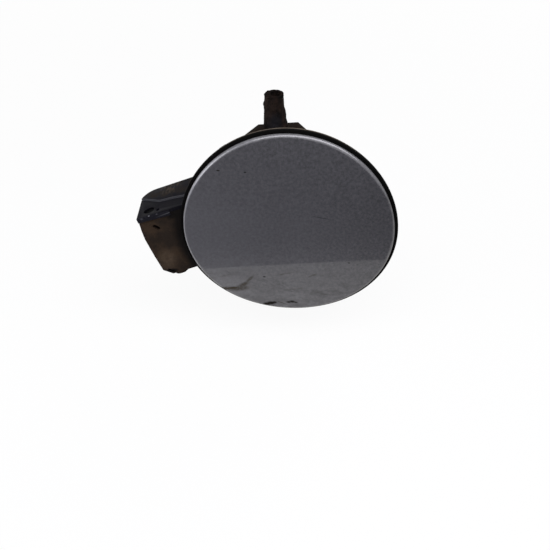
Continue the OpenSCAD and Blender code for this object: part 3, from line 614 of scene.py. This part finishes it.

# Pocket lid. A separate blue-black lid on the hinge pocket, with a recess over the pin's
# head; dusty on its raised part, with a painted highlight along the ridge, painted glints
# on its front and painted shade in the recess.
LID = (0.0040, 0.0037, 0.0060, 1)
LID_DUST = (0.020, 0.0165, 0.0140, 1)
LID_STREAK = (0.062, 0.049, 0.038, 1)
LID_RIDGE_HIGHLIGHT = (0.050, 0.050, 0.056, 1)
LID_FRONT = (0.0105, 0.0102, 0.0140, 1)
LID_GLINT_COLOUR = (0.36, 0.36, 0.40, 1)
LID_PIT_SHADE = (0.0015, 0.0015, 0.0015, 1)
# Line of the ridge: place across the lid and depth.
RIDGE = [(-0.1158, 0.0420), (-0.0955, 0.0290), (-0.0835, 0.0273), (-0.0560, 0.0210)]
# Painted glints on the front: place, radius, stretch, lean in degrees and strength.
LID_GLINTS = [((-0.1115, 0.0093, 0.0036), 0.0009, (1.0, 1, 0.9), 0, 1.0),
         ((-0.1049, 0.0093, 0.0058), 0.0008, (0.9, 1, 1.2), 0, 0.20),
         ((-0.1172, 0.0093, -0.0003), 0.0008, (1.3, 1, 1.0), 20, 0.09),
         ((-0.0955, 0.0093, 0.0068), 0.0011, (7.0, 1, 0.35), 26, 0.11)]
lid_skin = Finish("lid_moulding", 0.42, specular=0.022)
depth = lid_skin.axis("Y")
along = lid_skin.maths("ADD", lid_skin.maths("MULTIPLY", lid_skin.axis("X"), math.cos(HINGE_LEAN)),
                       lid_skin.maths("MULTIPLY", lid_skin.axis("Z"), math.sin(HINGE_LEAN)))
line = RIDGE[0][1]
for (x0, y0), (x1, y1) in zip(RIDGE, RIDGE[1:]):
    line = lid_skin.maths("ADD", lid_skin.ramp(along, x0, x1, 0.0, y1 - y0), line)
past = lid_skin.maths("SUBTRACT", depth, line)
off_ridge = lid_skin.maths("ABSOLUTE", lid_skin.maths("SUBTRACT", past, 0.0001))
# Painted highlight along the ridge line.
ridge_highlight = lid_skin.ramp(off_ridge, 0.0011, 0.0006)
dust = lid_skin.maths("MULTIPLY", lid_skin.ramp(lid_skin.noise(110, 6, 0.68), 0.40, 0.62),
                      lid_skin.ramp(past, 0.002, 0.006, 0.08, 1.0))
streak = lid_skin.maths("MULTIPLY",
                        lid_skin.spot((-0.0985, 0.0440, 0.0080), 0.0065, 0.004, (1.1, 1, 1)),
                        lid_skin.ramp(lid_skin.noise(520, 3, 0.6, (1, 0.3, 1)), 0.46, 0.66))
# Painted shade in the recess over the pin's head.
pit_shade = lid_skin.spot((-0.1124, 0.0190, 0.0012), 0.0046, 0.0008)
body = LID
for mask, tint in ((lid_skin.ramp(depth, 0.0112, 0.0096), LID_FRONT), (dust, LID_DUST),
                   (streak, LID_STREAK), (ridge_highlight, LID_RIDGE_HIGHLIGHT), (pit_shade, LID_PIT_SHADE)):
    body = lid_skin.mix(mask, body, tint)
for centre, radius, size, turn, strength in LID_GLINTS:
    # Painted glint on the lid's front.
    lid_glint = lid_skin.spot(centre, radius, radius * 0.6, size, turn)
    body = lid_skin.mix(lid_skin.maths("MULTIPLY", lid_glint, strength), body, LID_GLINT_COLOUR)
lid_skin.colour(body)
lid_skin.rough(lid_skin.ramp(dust, 0, 1, 0.36, 0.75))
lid_skin.bump(lid_skin.noise(500, 4, 0.7), 0.2, 0.0004)
lid = softened("pocket_cover", "pocket_lid", 0.0006, 3)
CORNER_X, CORNER_Y, CORNER_REACH = 0.1112, 0.0093, 0.017
CORNER_RISE = 0.0011 * outward + 0.0016 * axis_up
LID_LEVEL = 0.038
for v in lid.data.vertices:
    off_corner = math.hypot(v.co.dot(outward) - CORNER_X, v.co.y - CORNER_Y)
    if v.co.dot(axis_up) > LID_LEVEL:
        v.co += max(0.0, 1 - off_corner / CORNER_REACH) * CORNER_RISE
fitted(lid, "housing", "cover_plastic", lid_skin.material, "pocket_cover")

# Rim seal. A soft black rubber channel round the flange, its front lip just behind the
# flap's edge.
SEAL_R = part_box("rim_seal")[1].x
SEAL_FRONT = 0.0034
SEAL_BACK = SEAL_FRONT + 0.0031
LIP_IN, BACK_IN, WEB_IN = 0.0043, 0.0033, 0.0014
LIP_THICK, LIP_ROUND = 0.0005, 0.0008
RUBBER, RUBBER_DUST = (0.0055, 0.0055, 0.006, 1), (0.028, 0.023, 0.018, 1)
LIP_BLACK, LIP_DUST = (0.0018, 0.0017, 0.0016, 1), (0.145, 0.120, 0.096, 1)
rubber = Finish("seal_rubber", 0.66, specular=0.08)
mottled(rubber, rubber.noise(150, 5, 0.7), 0.5, 0.8, RUBBER, RUBBER_DUST)
patchy_gloss(rubber, 260, 0.5, 0.8)
rubber.bump(rubber.noise(1400, 3), 0.2, 0.0002)
lip = Finish("dusty_seal_rubber", 0.7, specular=0.04)
height = lip.axis("Z")
fall = lip.maths("MULTIPLY", lip.maths("MULTIPLY", height, height), 0.5 / CROWN_R)
depth = lip.maths("SUBTRACT", lip.axis("Y"), fall)
rear = lip.maths("MULTIPLY", lip.ramp(depth, SEAL_BACK - 0.0021, SEAL_BACK - 0.0009),
                 lip.ramp(height, 0.062, 0.074))
rear = lip.maths("MULTIPLY", rear, lip.ramp(lip.noise(120, 5, 0.7), 0.30, 0.55, 0.55, 1.0))
lip.colour(lip.mix(rear, LIP_BLACK, LIP_DUST))
lip.bump(lip.noise(1400, 3), 0.2, 0.0002)
seal_outline = (
    [(SEAL_R - LIP_IN, SEAL_FRONT), (SEAL_R - LIP_ROUND, SEAL_FRONT)]
    + arc((SEAL_R - LIP_ROUND, SEAL_FRONT + LIP_ROUND), LIP_ROUND, -90, 0, 5)
    + arc((SEAL_R - LIP_ROUND, SEAL_BACK - LIP_ROUND), LIP_ROUND, 0, 90, 5)
    + [(SEAL_R - BACK_IN, SEAL_BACK), (SEAL_R - BACK_IN, SEAL_BACK - LIP_THICK),
       (SEAL_R - WEB_IN, SEAL_BACK - LIP_THICK), (SEAL_R - WEB_IN, SEAL_FRONT + LIP_THICK),
       (SEAL_R - LIP_IN, SEAL_FRONT + LIP_THICK), (SEAL_R - LIP_IN, SEAL_FRONT)])
seal = turned("rim_channel", seal_outline, 192, closed=True)
bowed(seal)
smooth(seal, 40)
fitted(seal, "housing", "seal_rubber", lip.material, "rim_seal")

# Drain spout. A length of old rubber hose pushed over the sump's socket: split along its
# sides, swollen at the foot, ragged at the mouth and caked with dirt.
spout_low, spout_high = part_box("drain_spout")
SPOUT_X, SPOUT_Y = (spout_low.x + spout_high.x) / 2, (spout_low.y + spout_high.y) / 2
SPOUT_FOOT, SPOUT_TIP = spout_low.z, spout_high.z
FOOT_R = (spout_high.x - spout_low.x) / 2 - 0.0003
TIP_R = 0.0074
BORE_R = 0.0040
SPOUT_LEAN = 0.0013
RINGS = 30
BORE_RINGS = 12
SPLIT_DEPTH = 0.00045
LUMP, LUMP_AT, LUMP_SPREAD = 0.0011, 0.66, 0.10
TORN, TORN_FROM = 0.0004, 0.9
bpy.ops.object.select_all(action="DESELECT")
bpy.ops.mesh.primitive_circle_add(vertices=72, radius=FOOT_R,
                                  location=(SPOUT_X, SPOUT_Y, SPOUT_FOOT))
spout = bpy.context.object
spout.name = spout.data.name = "drain_hose"
bpy.ops.object.transform_apply(location=True, rotation=True, scale=True)
bpy.ops.object.mode_set(mode="EDIT")
bpy.ops.mesh.select_mode(type="EDGE")
bpy.ops.mesh.select_all(action="SELECT")
before = FOOT_R
rise = (SPOUT_TIP - SPOUT_FOOT - 0.0001) / RINGS
steps = [(TIP_R + (FOOT_R - TIP_R) * max(0.0, 1 - i / RINGS * 1.35) ** 1.2, rise)
         for i in range(1, RINGS + 1)]
steps += [(BORE_R, 0)] + [(BORE_R, -rise)] * BORE_RINGS
for r, dz in steps:
    bpy.ops.mesh.extrude_edges_move()
    bpy.ops.transform.resize(value=(r / before, r / before, 1),
                             center_override=(SPOUT_X, SPOUT_Y, 0))
    bpy.ops.transform.translate(value=(0, 0, dz))
    before = r
bpy.ops.mesh.select_all(action="SELECT")
bpy.ops.mesh.normals_make_consistent(inside=False)
bpy.ops.object.mode_set(mode="OBJECT")
for v in spout.data.vertices:
    out_from = Vector((v.co.x - SPOUT_X, v.co.y - SPOUT_Y, 0))
    if out_from.length < BORE_R + 0.0003:
        continue
    away = out_from.normalized()
    up = (v.co.z - SPOUT_FOOT) / (SPOUT_TIP - SPOUT_FOOT)
    rough = noise.noise(v.co * 260) * 0.00055 + noise.noise(v.co * 900) * 0.00028
    groove = abs(noise.noise(Vector((out_from.x * 420, out_from.y * 420, v.co.z * 25))))
    split = -SPLIT_DEPTH * max(0.0, 1 - groove * 7)
    lump = LUMP * math.exp(-((up - LUMP_AT) / LUMP_SPREAD) ** 2) * max(0.0, -away.x) ** 3
    v.co += away * (rough + split + lump)
    if up > TORN_FROM:
        frayed = TORN * (1 + noise.noise(out_from * 400)) * (1.2 - away.x)
        v.co.z -= frayed * (up - TORN_FROM) / (1 - TORN_FROM)
    v.co.x -= SPOUT_LEAN * up
smooth(spout, 60)
HOSE, HOSE_DIRT = (0.0050, 0.0043, 0.0040, 1), (0.0210, 0.0132, 0.0105, 1)
HOSE_SHEEN, HOSE_MOUTH_SHADE = (0.013, 0.013, 0.016, 1), (0.0028, 0.0026, 0.0026, 1)
hose = Finish("old_hose_rubber", 0.8, specular=0.04)
caked = hose.ramp(hose.noise(140, 6, 0.7, (1, 1, 0.35)), 0.42, 0.62)
sheen = hose.spot((SPOUT_X, SPOUT_Y - FOOT_R, SPOUT_FOOT + 0.006), 0.0065, 0.004, (0.7, 1, 1))
body = hose.mix(hose.ramp(sheen, 0, 1, 0, 0.8), hose.mix(caked, HOSE, HOSE_DIRT), HOSE_SHEEN)
# Painted shade darkens the top of the hose round its mouth.
mouth_shade = hose.ramp(hose.axis("Z"), SPOUT_TIP - 0.0018, SPOUT_TIP - 0.0004, 0.0, 0.55)
hose.colour(hose.mix(mouth_shade, body, HOSE_MOUTH_SHADE))
hose.join(hose.ramp(mouth_shade, 0.0, 0.55, 0.04, 0.006), hose.shader.inputs["Specular IOR Level"])
patchy_gloss(hose, 300, 0.55, 0.85)
hose.bump(hose.noise(700, 5, 0.75, (1, 1, 0.4)), 0.6, 0.0008)
fitted(spout, "housing", "spout_rubber", hose.material, "drain_spout")

# Neck boot and buffers. Soft rubber: the boot is buttoned into the floor and its sleeve
# is drawn over the filler neck, and two stops carry the closed flap.
for node in ("neck_boot", "upper_buffer", "lower_buffer"):
    soft = softened(node, node + "_rubber", 0.0004)
    fitted(soft, "housing", "seal_rubber", rubber.material, node)

# Band, pin and clips. Plated steel band round the sleeve, the hinge's headed pin, and
# dark spring-steel clips and springs.
band = softened("boot_band", "boot_band_steel", 0.0002)
fitted(band, "housing", "zinc", zinc.material, "boot_band")
SPRING, SPRING_RUST = (0.17, 0.17, 0.18, 1), (0.10, 0.062, 0.038, 1)
spring = Finish("spring_steel", 0.36, metallic=1.0)
mottled(spring, spring.noise(200, 5, 0.7), 0.45, 0.7, SPRING, SPRING_RUST)
patchy_gloss(spring, 240, 0.28, 0.6)
spring.bump(spring.noise(1200, 2), 0.1, 0.0002)
for node in ("body_clips", "pin_clip"):
    clip = softened(node, node + "_steel", 0.00015)
    fitted(clip, "housing", "spring_steel", spring.material, node)
# The pin is dark oiled steel made near-black as painted shade for the recess over its head, with a
# painted glint.
OILED_AND_SHADED, PIN_GLINT_COLOUR = (0.0022, 0.0022, 0.0025, 1), (0.45, 0.45, 0.47, 1)
oiled_shaded = Finish("oiled_steel_and_shade", 0.6, specular=0.02)
glint = oiled_shaded.spot((-0.1131, 0.0169, -0.0002), 0.0007, 0.0003)
oiled_shaded.colour(oiled_shaded.mix(glint, OILED_AND_SHADED, PIN_GLINT_COLOUR))
oiled_shaded.bump(oiled_shaded.noise(600, 3), 0.3, 0.0002)
pin = softened("hinge_pin", "hinge_pin_steel", 0.0003)
fitted(pin, "housing", "zinc", oiled_shaded.material, "hinge_pin")
for node in ("hinge_spring", "lock_spring"):
    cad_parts[node].data.materials.clear()
    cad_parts[node].data.materials.append(spring.material)

# Lock. A pale guide snapped through the bowl's wall, and the bolt that slides in it and
# into the flap's catch.
guide = softened("lock_guide", "bolt_guide", 0.0003)
fitted(guide, "housing", "pale_plastic", pale.material, "lock_guide")
bolt = softened("lock_bolt", "bolt_pin", 0.0003)
fitted(bolt, "bolt", "pale_plastic", pale.material, "lock_bolt")
